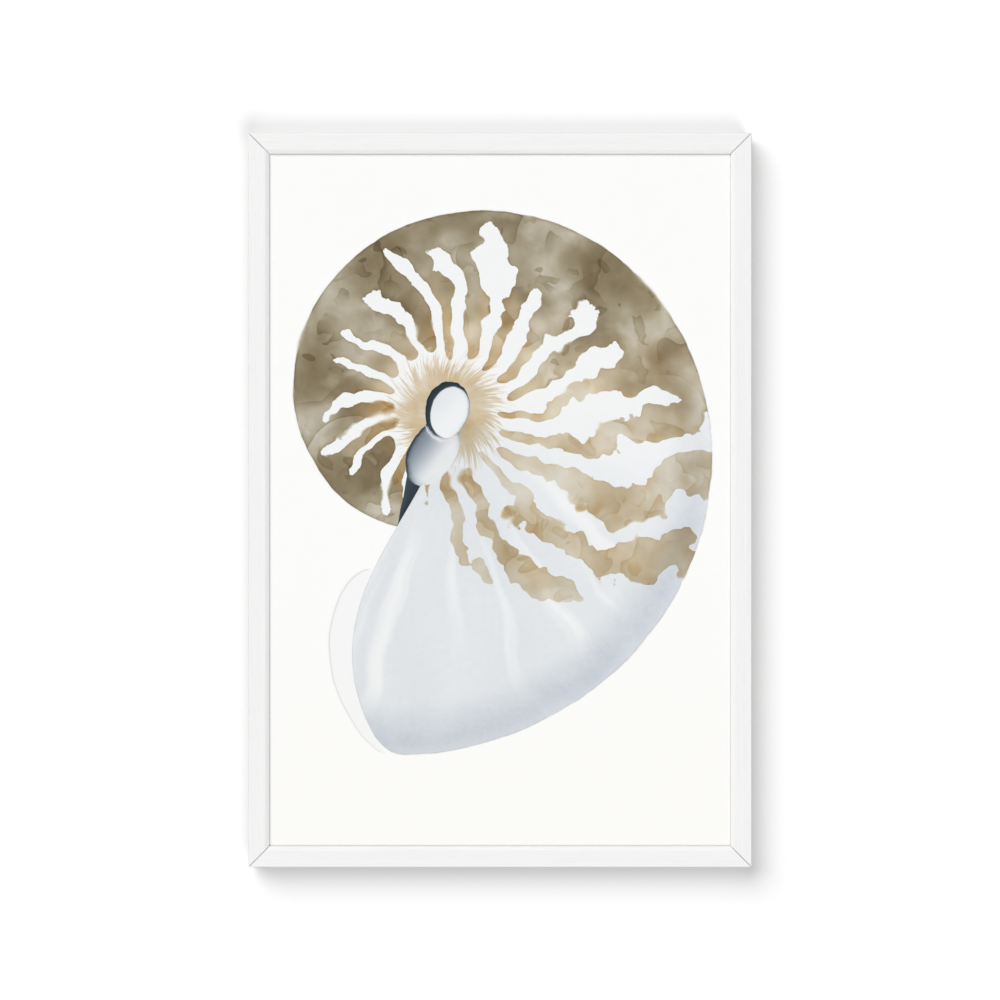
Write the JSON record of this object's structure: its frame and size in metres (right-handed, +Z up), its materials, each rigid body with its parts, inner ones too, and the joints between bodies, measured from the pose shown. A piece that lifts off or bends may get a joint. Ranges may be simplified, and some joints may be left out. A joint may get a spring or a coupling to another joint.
{
  "type": "framed art print",
  "caption": "Glazed portrait print in a mitred white timber frame, with a sawtooth hanger and wall bumpers on its back.",
  "frame": {"origin": "the wall hook: where it carries the middle tooth of the sawtooth hanger, on the plane of the wall that the bumpers touch", "axes": "+Z up, along the frame's long sides; -Y out of the wall, the way the picture faces; +X to the viewer's right"},
  "size_m": [0.545, 0.033, 0.795],
  "materials": {
    "painted_timber": "satin white paint over open-grained timber, bare timber at the back",
    "glazing": "clear acrylic, polished",
    "print_paper": "matt cold-pressed watercolour paper with a printed watercolour",
    "hardboard": "plain pressed wood fibre",
    "zinc_steel": "zinc plated",
    "bumper_rubber": "matt"
  },
  "bodies": {
    "root": {"art_print": "print_paper", "backing_board": "hardboard", "bumper_left": "bumper_rubber", "bumper_right": "bumper_rubber", "flex_point_bottom_1": "zinc_steel", "flex_point_bottom_2": "zinc_steel", "flex_point_left_1": "zinc_steel", "flex_point_left_2": "zinc_steel", "flex_point_left_3": "zinc_steel", "flex_point_left_4": "zinc_steel", "flex_point_right_1": "zinc_steel", "flex_point_right_2": "zinc_steel", "flex_point_right_3": "zinc_steel", "flex_point_right_4": "zinc_steel", "flex_point_top_1": "zinc_steel", "flex_point_top_2": "zinc_steel", "glazing": "glazing", "hanger_pin_left": "zinc_steel", "hanger_pin_right": "zinc_steel", "rail_bottom": "painted_timber", "rail_left": "painted_timber", "rail_right": "painted_timber", "rail_top": "painted_timber", "sawtooth_hanger": "zinc_steel", "v_nail_bottom_left_1": "zinc_steel", "v_nail_bottom_left_2": "zinc_steel", "v_nail_bottom_right_1": "zinc_steel", "v_nail_bottom_right_2": "zinc_steel", "v_nail_top_left_1": "zinc_steel", "v_nail_top_left_2": "zinc_steel", "v_nail_top_right_1": "zinc_steel", "v_nail_top_right_2": "zinc_steel"}
  },
  "joints": []
}
